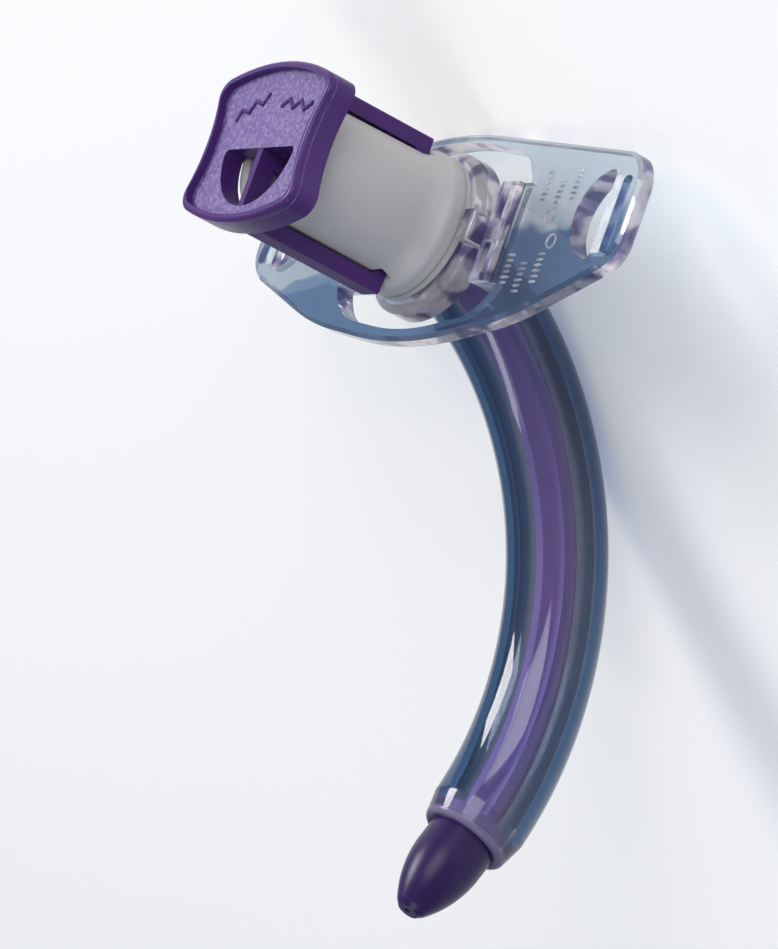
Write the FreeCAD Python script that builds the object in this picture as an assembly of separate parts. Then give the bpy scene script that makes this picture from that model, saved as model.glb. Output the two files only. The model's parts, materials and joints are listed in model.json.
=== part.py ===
import FreeCAD, Part
import math
import os

from FreeCAD import Matrix, Rotation, Vector

# Tracheostomy tube with its obturator in place, lying on its back as it comes to rest.
#
# The pieces are drawn in the wearer's frame, in millimetres: X to the wearer's left, Y to the
# head, Z out of the neck along the connector, with the connector's seat on the hub at Z = 0.
# At the end one rigid move lays the whole assembly on the table.

# Clearances
BOND_CLEARANCE = 0.04
PIN_CLEARANCE = 0.05
SLIDE_CLEARANCE = 0.10
SIDE_CLEARANCE = 0.45

# Curved outer tube: a short tight bend below the hub, then one long bend to the tip
TUBE_DIAMETER = 12.0
TUBE_BORE = 8.7
TUBE_TOP = 2.6
LEAD_BEND_RADIUS = 23.0
LEAD_BEND_ANGLE = 21.0
LONG_BEND_RADIUS = 47.2
LONG_BEND_ANGLE = 90.0
END_TAPER_LENGTH = 3.4
END_TAPER_DIAMETER = 10.6
END_CHAMFER = 0.5

# Connector: the standard 15 mm male cone above a wider collar
CONNECTOR_LENGTH = 21.4
CONE_LENGTH = 15.6
CONE_TIP_DIAMETER = 15.1
CONE_TAPER = 1.0 / 40.0
COLLAR_DIAMETER = 17.8
COLLAR_HEIGHT = 2.4
COLLAR_CHAMFER = 0.35
COLLAR_LIP_RADIUS = 1.4
GROOVE_HEIGHT = 0.9
GROOVE_WIDTH = 0.4
GROOVE_DEPTH = 0.25
MOUTH_BORE = 12.4
MOUTH_BORE_FOOT = 9.0
MOUTH_CHAMFER = 0.4
THROAT_HEIGHT = 4.0

# Hub: the clear ring that holds the connector, the tube and the neck flange's pivots
HUB_DIAMETER = 20.4
HUB_DEPTH = 3.1
HUB_CHAMFER = 0.9
SPIGOT_DIAMETER = 14.4
SPIGOT_HEIGHT = 3.1
LUG_REACH = 11.2
LUG_WIDTH = 3.8
LUG_TOP = 1.3
LUG_FOOT = -1.7
LUG_ROUNDING = 0.4
PIVOT_DEPTH = 2.35
PIVOT_DIAMETER = 1.4
PIVOT_LENGTH = 2.0

# Neck flange: a clear plate with an oval window, two pivot brackets and two tie slots
FLANGE_FRONT = -1.5
FLANGE_THICKNESS = 2.4
FLANGE_HALF_LENGTH = 37.2
FLANGE_TOP = 13.25
FLANGE_TOP_END = 9.3
FLANGE_FOOT = -13.9
FLANGE_FOOT_MIDWAY = -10.6
FLANGE_FOOT_END = -3.7
FLANGE_FOOT_BREAK = 20.0
FLANGE_CORNER_RADIUS = 4.4
FLANGE_BROAD_RADIUS = 60.0
FLANGE_EDGE_CHAMFER = 0.45
WINDOW_HALF_LENGTH = 17.0
WINDOW_TOP = 12.3
WINDOW_FOOT = -12.2
WINDOW_SIDE_TOP = 9.5
WINDOW_BROAD_RADIUS = 40.0
WINDOW_CORNER_RADIUS = 7.5
BRACKET_WIDTH = 3.3
BRACKET_HALF_HEIGHT = 6.2
BRACKET_RISE = 0.9
BRACKET_RIM = 1.0
BRACKET_POCKET_DEPTH = 1.5
BRACKET_EDGE_ROUNDING = 0.25
PIVOT_BLOCK_HALF_HEIGHT = 1.5
TIE_BAR_WIDTH = 4.6
SLOT_RADIUS = 5.6
SLOT_CENTRE_HEIGHT = 1.9
SLOT_CORNER_RADIUS = 0.8
GROOVE_STRIP_SETBACK = 1.6
GROOVE_STRIP_WIDTH = 1.7
GROOVE_STRIP_HALF_HEIGHT = 4.7
GROOVE_STRIP_DEPTH = 0.9

# Obturator: head plate, two clip arms, cross-shaped stem and bullet tip in one moulding
PLATE_THICKNESS = 3.6
PLATE_HALF_WIDTH = 12.2
PLATE_CORNER_HEIGHT = 7.4
PLATE_MIDDLE_HEIGHT = 10.0
PLATE_WAIST = 10.5
PLATE_CORNER_RADIUS = 2.2
PLATE_EDGE_ROUNDING = 0.5
PLATE_RIM = 0.85
PLATE_RECESS = 1.0
PLATE_WINDOW_RADIUS = 7.2
PLATE_WINDOW_TOP = -0.5
PLATE_WINDOW_CORNER = 0.7
ARM_WIDTH = 3.8
ARM_THICKNESS = 1.9
ARM_END = 3.9
ARM_ROUNDING = 0.3
TOOTH_HEIGHT = 2.0
TOOTH_PEAK = 0.5
TOOTH_REACH = 1.0
POCKET_MARGIN = 1.0
STEM_WIDTH = 4.8
STEM_RIB = 1.4
WINDOW_RIB = 1.0
WINDOW_RIB_DROP = 0.1
SHOULDER_LENGTH = 2.6
BULLET_LENGTH = 10.9
BULLET_STRAIGHT = 2.2
BULLET_NOSE_DIAMETER = 3.8
BULLET_NOSE_CHAMFER = 0.6
BULLET_WAIST_SHARE = 0.60
DIMPLE_DIAMETER = 0.9
DIMPLE_DEPTH = 0.6

X_AXIS = Vector(1, 0, 0)
Y_AXIS = Vector(0, 1, 0)
Z_AXIS = Vector(0, 0, 1)
OVERLAP = 0.5
TAPER_RUN_OUT = 0.05


def edge_chain(points_and_bulges):
    """Closed wire from (point, middle point or None) pairs: straight, or an arc through it."""
    edges = []
    count = len(points_and_bulges)
    for index, (start, through) in enumerate(points_and_bulges):
        end = points_and_bulges[(index + 1) % count][0]
        if through is None:
            edges.append(Part.LineSegment(start, end).toShape())
        else:
            edges.append(Part.Arc(start, through, end).toShape())
    return Part.Wire(edges)


def rounded_outline(corners, height):
    """Closed wire in the plane Z = height through (x, y, radius) corners with tangent arcs."""
    chain = []
    count = len(corners)
    for index, (x, y, radius) in enumerate(corners):
        here = Vector(x, y, height)
        before = Vector(corners[index - 1][0], corners[index - 1][1], height)
        after = Vector(corners[(index + 1) % count][0], corners[(index + 1) % count][1], height)
        back = (before - here).normalize()
        ahead = (after - here).normalize()
        half_angle = back.getAngle(ahead) / 2.0
        setback = radius / math.tan(half_angle)
        middle = (back + ahead).normalize()
        rise = radius / math.sin(half_angle) - radius
        chain.append((here + back * setback, here + middle * rise))
        chain.append((here + ahead * setback, None))
    return edge_chain(chain)


def mirrored(corners):
    """A right-hand half outline, top to bottom, closed by its mirror image in X = 0."""
    left = [(-x, y, radius) for x, y, radius in reversed(corners) if x > 0]
    return corners + left


def prism(wire, depth):
    """Solid drawn from a flat wire along Z."""
    return Part.Face(wire).extrude(Vector(0, 0, depth))


def block(x_range, y_range, z_range):
    """Box between two X, two Y and two Z values."""
    corner = Vector(x_range[0], y_range[0], z_range[0])
    size = Vector(x_range[1], y_range[1], z_range[1]) - corner
    return Part.makeBox(size.x, size.y, size.z, corner)


def turned(profile):
    """Solid of revolution about Z from (radius, height, through) points; through may be None."""
    chain = []
    for radius, height, through in profile:
        middle = None if through is None else Vector(through[0], 0, through[1])
        chain.append((Vector(radius, 0, height), middle))
    return Part.Face(edge_chain(chain)).revolve(Vector(), Z_AXIS, 360)


def edges_at_height(shape, height):
    """Edges that lie wholly in the plane Z = height."""
    found = []
    for edge in shape.Edges:
        box = edge.BoundBox
        if abs(box.ZMin - height) < 1e-3 and abs(box.ZMax - height) < 1e-3:
            found.append(edge)
    return found


def upright_edges(shape):
    """Straight edges that run along Z."""
    found = []
    for edge in shape.Edges:
        if isinstance(edge.Curve, Part.Line) and abs(edge.tangentAt(edge.FirstParameter).z) > 0.999:
            found.append(edge)
    return found


def lead_centre():
    """Centre of the tight bend below the hub."""
    return Vector(0, -LEAD_BEND_RADIUS, TUBE_TOP)


def long_centre():
    """Centre of the long bend, which starts where the tight bend ends."""
    angle = math.radians(LEAD_BEND_ANGLE)
    step = LONG_BEND_RADIUS - LEAD_BEND_RADIUS
    return lead_centre() + Vector(0, -step * math.cos(angle), step * math.sin(angle))


def bent(section_at_top, long_angle):
    """Solid that a flat section at Z = TUBE_TOP sweeps through the two bends."""
    lead = section_at_top.revolve(lead_centre(), -X_AXIS, LEAD_BEND_ANGLE)
    start = section_at_top.copy()
    start.rotate(lead_centre(), -X_AXIS, LEAD_BEND_ANGLE)
    return lead.fuse(start.revolve(long_centre(), -X_AXIS, long_angle))


def placed_at_tip(shape):
    """Moves a shape drawn along -Z from the origin to the tube's lower end."""
    end_angle = LEAD_BEND_ANGLE + LONG_BEND_ANGLE
    angle = math.radians(end_angle)
    offset = Vector(0, LONG_BEND_RADIUS * math.cos(angle), -LONG_BEND_RADIUS * math.sin(angle))
    moved = shape.copy()
    moved.rotate(Vector(), -X_AXIS, end_angle)
    moved.translate(long_centre() + offset)
    return moved


def disc(radius, inner_radius=0.0):
    """Flat round face at Z = TUBE_TOP, with a hole if an inner radius is given."""
    centre = Vector(0, 0, TUBE_TOP)
    face = Part.Face(Part.Wire(Part.makeCircle(radius, centre)))
    if inner_radius:
        face = face.cut(Part.Face(Part.Wire(Part.makeCircle(inner_radius, centre))))
    return face


def make_outer_tube():
    """Clear curved tube, tapered and chamfered at its lower end."""
    outside = TUBE_DIAMETER / 2.0
    bore = TUBE_BORE / 2.0
    end = END_TAPER_DIAMETER / 2.0
    tube = bent(disc(outside, bore), LONG_BEND_ANGLE)
    clear = outside + 2.0
    taper_tool = turned([
        (end - END_CHAMFER, -OVERLAP, None),
        (end - END_CHAMFER, 0.0, None),
        (end, END_CHAMFER, None),
        (outside + TAPER_RUN_OUT, END_TAPER_LENGTH, None),
        (clear, END_TAPER_LENGTH, None),
        (clear, -OVERLAP, None),
    ])
    return tube.cut(placed_at_tip(taper_tool)).removeSplitter()


def cone_radius(height):
    """Outside radius of the connector's cone at a height."""
    return CONE_TIP_DIAMETER / 2.0 + (CONNECTOR_LENGTH - height) * CONE_TAPER / 2.0


def arm_inner_face():
    """Distance of the clip arms' inner faces from the connector's axis."""
    return cone_radius(CONNECTOR_LENGTH - CONE_LENGTH) + SLIDE_CLEARANCE


def make_connector():
    """Opaque 15 mm male connector with its flared collar and two catch pockets."""
    top = CONNECTOR_LENGTH
    foot = CONNECTOR_LENGTH - CONE_LENGTH
    collar = COLLAR_DIAMETER / 2.0
    mouth = MOUTH_BORE / 2.0
    throat = TUBE_BORE / 2.0
    seat = SPIGOT_DIAMETER / 2.0 + BOND_CLEARANCE
    lip_end, lip_middle, flare_middle = flare_curve()
    body = turned([
        (seat, 0.0, None),
        (collar - COLLAR_CHAMFER, 0.0, None),
        (collar, COLLAR_CHAMFER, None),
        (collar, GROOVE_HEIGHT, None),
        (collar - GROOVE_DEPTH, GROOVE_HEIGHT, None),
        (collar - GROOVE_DEPTH, GROOVE_HEIGHT + GROOVE_WIDTH, None),
        (collar, GROOVE_HEIGHT + GROOVE_WIDTH, None),
        (collar, COLLAR_HEIGHT, lip_middle),
        (*lip_end, flare_middle),
        (cone_radius(foot), foot, None),
        (cone_radius(top - MOUTH_CHAMFER), top - MOUTH_CHAMFER, None),
        (cone_radius(top) - MOUTH_CHAMFER, top, None),
        (mouth + MOUTH_CHAMFER, top, None),
        (mouth, top - MOUTH_CHAMFER, None),
        (mouth, MOUTH_BORE_FOOT, None),
        (throat, THROAT_HEIGHT, None),
        (throat, SPIGOT_HEIGHT + BOND_CLEARANCE, None),
        (seat, SPIGOT_HEIGHT + BOND_CLEARANCE, None),
    ])
    for side in (1, -1):
        body = body.cut(catch_pocket(side))
    return body


def flare_curve():
    """End of the collar's rounded lip, its middle, and the middle of the flare above it.

    The lip and the flare are two arcs that meet without a corner. The lip leaves the collar's side
    and the flare leaves the cone along the axis.
    """
    foot = CONNECTOR_LENGTH - CONE_LENGTH
    collar = COLLAR_DIAMETER / 2.0
    rise = foot - COLLAR_HEIGHT
    turn = 2.0 * math.atan2(collar - cone_radius(foot), rise)
    flare_radius = rise / math.sin(turn) - COLLAR_LIP_RADIUS

    def on_lip(angle):
        """Point of the lip where it has turned by an angle."""
        drop = COLLAR_LIP_RADIUS * (1.0 - math.cos(angle))
        return (collar - drop, COLLAR_HEIGHT + COLLAR_LIP_RADIUS * math.sin(angle))

    drop = flare_radius * (1.0 - math.cos(turn / 2.0))
    flare_middle = (cone_radius(foot) + drop, foot - flare_radius * math.sin(turn / 2.0))
    return on_lip(turn), on_lip(turn / 2.0), flare_middle


def tooth_prism(side, outer, half_width, clearance):
    """Clip arm's tooth, or the pocket that takes it, from its tip out to a distance from the axis.

    The tooth ends square below its tip and slopes back into the arm above it.
    """
    inner = arm_inner_face()
    tip = inner - TOOTH_REACH - clearance
    foot = ARM_END - clearance
    peak = ARM_END + TOOTH_PEAK + clearance
    top = ARM_END + TOOTH_HEIGHT + clearance
    corners = [(outer, foot), (tip, foot), (tip, peak), (inner, top), (outer, top)]
    points = [Vector(-half_width, side * y, z) for y, z in corners]
    return Part.Face(Part.makePolygon(points + points[:1])).extrude(Vector(2.0 * half_width, 0, 0))


def catch_pocket(side):
    """Space of the pocket in the collar's flare that takes the end of one clip arm."""
    half_width = ARM_WIDTH / 2.0 + POCKET_MARGIN
    return tooth_prism(side, COLLAR_DIAMETER, half_width, 2.0 * SLIDE_CLEARANCE)


def make_hub():
    """Clear ring with the connector's spigot, the tube's socket, two lugs and two pivots."""
    ring = HUB_DIAMETER / 2.0
    spigot = SPIGOT_DIAMETER / 2.0
    body = turned([
        (0.0, -HUB_DEPTH, None),
        (ring, -HUB_DEPTH, None),
        (ring, -HUB_CHAMFER, None),
        (ring - HUB_CHAMFER, 0.0, None),
        (spigot, 0.0, None),
        (spigot, SPIGOT_HEIGHT, None),
        (0.0, SPIGOT_HEIGHT, None),
    ])
    socket = TUBE_DIAMETER / 2.0 + BOND_CLEARANCE
    for side in (1, -1):
        body = body.fuse(pivot_lug(side))
    throat = Part.makeCylinder(TUBE_BORE / 2.0, SPIGOT_HEIGHT - TUBE_TOP + 2.0 * OVERLAP,
                               Vector(0, 0, TUBE_TOP - OVERLAP))
    body = body.cut(throat)
    tube_space = bent(disc(socket), LONG_BEND_ANGLE / 4.0)
    return body.cut(tube_space).removeSplitter()


def pivot_lug(side):
    """Square lug on one side of the hub ring with the round pivot pin that stands on it."""
    inner = HUB_DIAMETER / 2.0 - HUB_CHAMFER
    half = LUG_WIDTH / 2.0
    lug = block((inner, LUG_REACH), (-half, half), (LUG_FOOT, LUG_TOP))
    face_edges = [edge for edge in lug.Edges if edge.BoundBox.XMin > LUG_REACH - 1e-3]
    lug = lug.makeFillet(LUG_ROUNDING, face_edges)
    heel = block((inner - 2.0, LUG_REACH - LUG_ROUNDING), (-half, half), (-HUB_DEPTH, LUG_FOOT))
    pin = Part.makeCylinder(PIVOT_DIAMETER / 2.0, LUG_REACH + PIVOT_LENGTH - inner,
                            Vector(inner, 0, -PIVOT_DEPTH), X_AXIS)
    whole = lug.fuse(heel).fuse(pin)
    if side < 0:
        whole = whole.mirror(Vector(), X_AXIS)
    return whole


def flange_outline(height):
    """Outline of the neck flange: broad above, tapering below towards each wing's end."""
    return rounded_outline(mirrored([
        (0.0, FLANGE_TOP, FLANGE_BROAD_RADIUS),
        (FLANGE_HALF_LENGTH, FLANGE_TOP_END, FLANGE_CORNER_RADIUS),
        (FLANGE_HALF_LENGTH, FLANGE_FOOT_END, FLANGE_CORNER_RADIUS),
        (FLANGE_FOOT_BREAK, FLANGE_FOOT_MIDWAY, FLANGE_BROAD_RADIUS * 0.7),
        (0.0, FLANGE_FOOT, FLANGE_BROAD_RADIUS),
    ]), height)


def window_outline(height):
    """Oval window of the neck flange round the hub."""
    return rounded_outline(mirrored([
        (0.0, WINDOW_TOP, WINDOW_BROAD_RADIUS),
        (WINDOW_HALF_LENGTH, WINDOW_SIDE_TOP, WINDOW_CORNER_RADIUS),
        (WINDOW_HALF_LENGTH, -WINDOW_SIDE_TOP, WINDOW_CORNER_RADIUS),
        (0.0, WINDOW_FOOT, WINDOW_BROAD_RADIUS),
    ]), height)


def slot_side():
    """Distance of the tie slots' straight sides from the hub's axis."""
    return FLANGE_HALF_LENGTH - TIE_BAR_WIDTH


def tie_slot(back, depth):
    """D-shaped slot for the neck tie in the left wing."""
    side = slot_side()
    wire = edge_chain([
        (Vector(side, SLOT_CENTRE_HEIGHT - SLOT_RADIUS, back), None),
        (Vector(side, SLOT_CENTRE_HEIGHT + SLOT_RADIUS, back),
         Vector(side - SLOT_RADIUS, SLOT_CENTRE_HEIGHT, back)),
    ])
    slot = prism(wire, depth)
    return slot.makeFillet(SLOT_CORNER_RADIUS, upright_edges(slot))


def groove_strip(front):
    """Shallow groove beside the slot's bar in the left wing."""
    start = slot_side() + GROOVE_STRIP_SETBACK
    half = GROOVE_STRIP_HALF_HEIGHT
    strip = block((start, start + GROOVE_STRIP_WIDTH),
                  (SLOT_CENTRE_HEIGHT - half, SLOT_CENTRE_HEIGHT + half),
                  (front - GROOVE_STRIP_DEPTH, front + OVERLAP))
    return strip.makeFillet(GROOVE_STRIP_WIDTH * 0.45, upright_edges(strip))


def bracket_inner_side():
    """Distance of the brackets' inner sides from the hub's axis."""
    return LUG_REACH + SIDE_CLEARANCE


def pivot_bracket():
    """Left bracket: a raised frame on a tab that reaches in from the window's side."""
    inner = bracket_inner_side()
    outer = inner + BRACKET_WIDTH
    half = BRACKET_HALF_HEIGHT
    back = FLANGE_FRONT - FLANGE_THICKNESS
    top = FLANGE_FRONT + BRACKET_RISE
    tab = block((inner, WINDOW_HALF_LENGTH + OVERLAP), (-half, half), (back, FLANGE_FRONT))
    frame = block((inner, outer), (-half, half), (back, top))
    frame = frame.makeFillet(BRACKET_EDGE_ROUNDING, edges_at_height(frame, top))
    bracket = tab.fuse(frame)
    pocket_x = (inner + BRACKET_RIM, outer - BRACKET_RIM)
    for side in (1, -1):
        reach = sorted((side * PIVOT_BLOCK_HALF_HEIGHT, side * (half - BRACKET_RIM)))
        bracket = bracket.cut(block(pocket_x, reach, (top - BRACKET_POCKET_DEPTH, top + OVERLAP)))
    return bracket


def make_neck_flange():
    """Clear neck flange with its window, brackets, tie slots and grooves."""
    back = FLANGE_FRONT - FLANGE_THICKNESS
    plate = prism(flange_outline(back), FLANGE_THICKNESS)
    rims = edges_at_height(plate, back) + edges_at_height(plate, FLANGE_FRONT)
    plate = plate.makeChamfer(FLANGE_EDGE_CHAMFER, rims)
    plate = plate.cut(prism(window_outline(back - OVERLAP), FLANGE_THICKNESS + 2.0 * OVERLAP))
    cuts = [tie_slot(back - OVERLAP, FLANGE_THICKNESS + 2.0 * OVERLAP), groove_strip(FLANGE_FRONT)]
    cuts += [cut.mirror(Vector(), X_AXIS) for cut in cuts]
    plate = plate.cut(Part.makeCompound(cuts))
    bracket = pivot_bracket()
    plate = plate.fuse(bracket).fuse(bracket.mirror(Vector(), X_AXIS))
    reach = LUG_REACH + PIVOT_LENGTH + PIN_CLEARANCE
    hole = Part.makeCylinder(PIVOT_DIAMETER / 2.0 + PIN_CLEARANCE, 2.0 * reach,
                             Vector(-reach, 0, -PIVOT_DEPTH), X_AXIS)
    return plate.cut(hole).removeSplitter()


def head_plate():
    """Waisted head plate with its raised rim and half-round window."""
    foot = CONNECTOR_LENGTH
    front = foot + PLATE_THICKNESS
    plate = waisted_prism(0.0, foot, PLATE_THICKNESS, PLATE_CORNER_RADIUS)
    plate = plate.makeFillet(PLATE_EDGE_ROUNDING, edges_at_height(plate, front))
    floor = front - PLATE_RECESS
    recess = waisted_prism(PLATE_RIM, floor, PLATE_RECESS + OVERLAP,
                           PLATE_CORNER_RADIUS - PLATE_RIM / 2.0)
    plate = plate.cut(recess)
    wire = edge_chain([
        (Vector(PLATE_WINDOW_RADIUS, PLATE_WINDOW_TOP, foot - OVERLAP), None),
        (Vector(-PLATE_WINDOW_RADIUS, PLATE_WINDOW_TOP, foot - OVERLAP),
         Vector(0, PLATE_WINDOW_TOP - PLATE_WINDOW_RADIUS, foot - OVERLAP)),
    ])
    window = prism(wire, PLATE_THICKNESS + 2.0 * OVERLAP)
    window = window.makeFillet(PLATE_WINDOW_CORNER, upright_edges(window))
    plate = plate.cut(window)
    half = WINDOW_RIB / 2.0
    rib = block((-half, half), (PLATE_WINDOW_TOP - PLATE_WINDOW_RADIUS - OVERLAP, OVERLAP),
                (foot, floor - WINDOW_RIB_DROP))
    return plate.fuse(rib)


def waisted_prism(inset, foot, depth, corner_radius):
    """Prism of the head plate's outline, drawn in by an inset all round."""
    width = PLATE_HALF_WIDTH - inset
    corner = PLATE_CORNER_HEIGHT - inset * 0.8
    middle = PLATE_MIDDLE_HEIGHT - inset
    waist = PLATE_WAIST - inset
    wire = edge_chain([
        (Vector(-width, corner, foot), Vector(0, middle, foot)),
        (Vector(width, corner, foot), Vector(waist, 0, foot)),
        (Vector(width, -corner, foot), Vector(0, -middle, foot)),
        (Vector(-width, -corner, foot), Vector(-waist, 0, foot)),
    ])
    solid = prism(wire, depth)
    return solid.makeFillet(corner_radius, upright_edges(solid))


def clip_arm(side):
    """One clip arm along the connector, with the tooth that catches in its pocket."""
    inner = arm_inner_face()
    half = ARM_WIDTH / 2.0
    arm = block((-half, half), (inner, inner + ARM_THICKNESS), (ARM_END, CONNECTOR_LENGTH + OVERLAP))
    long_edges = [edge for edge in arm.Edges if edge.BoundBox.ZLength > 1.0]
    outer_edges = [edge for edge in long_edges if edge.BoundBox.YMin > inner + 0.1]
    arm = arm.makeFillet(ARM_ROUNDING, outer_edges)
    if side < 0:
        arm = arm.mirror(Vector(), Y_AXIS)
    return arm.fuse(tooth_prism(side, inner + OVERLAP, half, 0.0)).removeSplitter()


def cross_section():
    """Cross-shaped face of the stem at Z = TUBE_TOP."""
    half = STEM_WIDTH / 2.0
    rib = STEM_RIB / 2.0
    quarter = [(half, rib), (rib, rib), (rib, half)]
    points = []
    for turn in range(4):
        rotation = Rotation(Z_AXIS, 90.0 * turn)
        for x, y in quarter:
            points.append(rotation.multVec(Vector(x, y, 0)) + Vector(0, 0, TUBE_TOP))
    return Part.Face(Part.makePolygon(points + points[:1]))


def bullet():
    """Shoulder, bullet and blunt nose, drawn down -Z from the tube's end."""
    radius = TUBE_BORE / 2.0 - SLIDE_CLEARANCE
    nose = BULLET_NOSE_DIAMETER / 2.0
    nose_height = BULLET_LENGTH - BULLET_NOSE_CHAMFER
    belly = BULLET_STRAIGHT + (nose_height - BULLET_STRAIGHT) * BULLET_WAIST_SHARE
    dimple = DIMPLE_DIAMETER / 2.0
    return turned([
        (0.0, SHOULDER_LENGTH, None),
        (radius, SHOULDER_LENGTH, None),
        (radius, -BULLET_STRAIGHT, (radius * 0.825, -belly)),
        (nose, -nose_height, None),
        (nose - BULLET_NOSE_CHAMFER, -BULLET_LENGTH, None),
        (dimple, -BULLET_LENGTH, None),
        (dimple * 0.6, -BULLET_LENGTH + DIMPLE_DEPTH, None),
        (0.0, -BULLET_LENGTH + DIMPLE_DEPTH, None),
    ])


def make_obturator():
    """One-piece obturator: head plate, clip arms, stem and bullet."""
    section = cross_section()
    long_angle = LONG_BEND_ANGLE - math.degrees((SHOULDER_LENGTH - OVERLAP) / LONG_BEND_RADIUS)
    body = head_plate()
    for side in (1, -1):
        body = body.fuse(clip_arm(side))
    body = body.fuse(section.extrude(Vector(0, 0, CONNECTOR_LENGTH - TUBE_TOP + OVERLAP)))
    body = body.fuse(bent(section, long_angle))
    return body.fuse(placed_at_tip(bullet())).removeSplitter()


def lowest_point(shape, up):
    """Point of a shape that lies furthest against the up direction."""
    reach = 400.0
    turn = Rotation(Z_AXIS, up)
    corner = up * -reach + turn.multVec(Vector(-reach, -reach, 0))
    table = Part.makePlane(2.0 * reach, 2.0 * reach, corner, up, turn.multVec(X_AXIS))
    return shape.distToShape(table)[1][0][0]


def rest_move(flange, tube, guess):
    """Rigid move that lays the assembly on its back, on the table Z = 0.

    The middle of the flange's top edge and the back of the tube's bend touch the table. X runs
    from the tube's contact to the flange's, Y to the wearer's right. The guess is roughly up.
    """
    up = Vector(guess).normalize()
    along = Vector()
    for _ in range(20):
        along = lowest_point(flange, up) - lowest_point(tube, up)
        along.x = 0.0
        along.normalize()
        turned_by = up.getAngle(X_AXIS.cross(along))
        up = X_AXIS.cross(along)
        if turned_by < 1e-9:
            break
    foot = lowest_point(tube, up)
    return Matrix(
        along.x, along.y, along.z, -along.dot(foot),
        -1, 0, 0, foot.x,
        up.x, up.y, up.z, -up.dot(foot),
        0, 0, 0, 1,
    )


def centred(shapes):
    """Shift that puts the foot of the common bounding box's centre at the origin."""
    box = shapes[0].optimalBoundingBox(False, False)
    for shape in shapes[1:]:
        box.add(shape.optimalBoundingBox(False, False))
    centre = box.Center
    return Vector(-centre.x, -centre.y, -box.ZMin)


def main():
    """Builds each piece, lays the assembly down and writes one STEP file per piece."""
    pieces = {
        "outer_tube": make_outer_tube(),
        "hub": make_hub(),
        "connector": make_connector(),
        "neck_flange": make_neck_flange(),
        "obturator": make_obturator(),
    }
    move = rest_move(pieces["neck_flange"], pieces["outer_tube"], Vector(0, -1, 1))
    laid = {name: shape.Solids[0].transformed(move, True) for name, shape in pieces.items()}
    shift = centred(list(laid.values()))
    os.makedirs("parts", exist_ok=True)
    for name, shape in laid.items():
        shape.translate(shift)
        shape.exportStep(os.path.join("parts", name + ".step"))
        print(name, len(shape.Solids), "solid", round(shape.Volume, 2), "mm3", shape.isValid())
    print("move to the table", [round(value, 6) for value in move.A])
    print("shift", [round(value, 6) for value in shift])


if __name__ == "__main__":
    main()
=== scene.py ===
import json
import logging
import math
from dataclasses import dataclass, fields
from enum import Enum
from typing import Union

import bpy
from mathutils import Matrix, Vector


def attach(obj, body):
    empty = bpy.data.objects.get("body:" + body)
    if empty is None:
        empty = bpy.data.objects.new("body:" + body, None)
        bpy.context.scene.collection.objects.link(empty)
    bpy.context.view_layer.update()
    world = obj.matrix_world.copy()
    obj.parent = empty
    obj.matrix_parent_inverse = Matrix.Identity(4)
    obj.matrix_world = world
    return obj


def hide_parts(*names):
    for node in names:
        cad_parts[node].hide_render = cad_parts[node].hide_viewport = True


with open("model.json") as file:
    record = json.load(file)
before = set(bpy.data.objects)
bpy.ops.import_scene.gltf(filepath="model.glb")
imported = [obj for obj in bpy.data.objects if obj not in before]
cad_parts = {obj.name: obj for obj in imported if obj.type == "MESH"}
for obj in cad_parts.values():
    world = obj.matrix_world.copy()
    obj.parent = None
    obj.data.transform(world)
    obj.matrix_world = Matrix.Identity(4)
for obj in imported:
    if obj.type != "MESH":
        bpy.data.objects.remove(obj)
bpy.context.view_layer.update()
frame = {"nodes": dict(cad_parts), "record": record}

LOG = logging.getLogger("tracheostomy_tube")

# A millimetre in metres.
MM = 0.001
# In millimetres: the connector mount's height above the connector's seat, and how far a mask reaches past
# the face that it is for.
CONE_ROOT = 5.8
MARGIN = 0.05

Colour = tuple[float, float, float]
Triple = tuple[float, float, float]
Limits = tuple[float, float]
Socket = bpy.types.NodeSocket
Paint = Union[Colour, Socket]
Value = Union["Term", Socket, float, bool, tuple]


class Body(Enum):
    """The two bodies that pieces ride on."""

    TUBE = "tube"
    FLANGE = "flange"


class Side(Enum):
    """Left and right of the wearer, as the sign of X."""

    LEFT = 1.0
    RIGHT = -1.0


@dataclass(frozen=True)
class WearerFrame:
    """The frame in which the pieces are described, in millimetres.

    X points to the wearer's left, Y to the head and Z out of the neck along the connector. The origin
    is the connector's seat on the hub.
    """

    to_row: Matrix

    @classmethod
    def from_record(cls, record: dict, cone_root: float) -> "WearerFrame":
        """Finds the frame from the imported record's connector mount.

        Args:
            record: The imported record.
            cone_root: Height of the mount above the connector's seat, in millimetres.

        Returns:
            The frame, with its matrix from millimetres here to metres in the row frame.
        """
        mount = next(m for m in record["mounts"] if m["name"] == "breathing_circuit_cone")
        out = Vector(mount["axis"]).normalized()
        left = Vector((0.0, -1.0, 0.0))
        head = out.cross(left)
        origin = Vector(mount["pos_m"]) - out * cone_root * MM
        turn = Matrix((left, head, out)).transposed().to_4x4()
        return cls(Matrix.Translation(origin) @ turn @ Matrix.Scale(MM, 4))

    def point(self, x: float, y: float, z: float) -> Vector:
        """A point in the row frame, in metres."""
        return self.to_row @ Vector((x, y, z))

    def direction(self, x: float, y: float, z: float) -> Vector:
        """A unit direction in the row frame."""
        return (self.to_row.to_3x3() @ Vector((x, y, z))).normalized()


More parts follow.
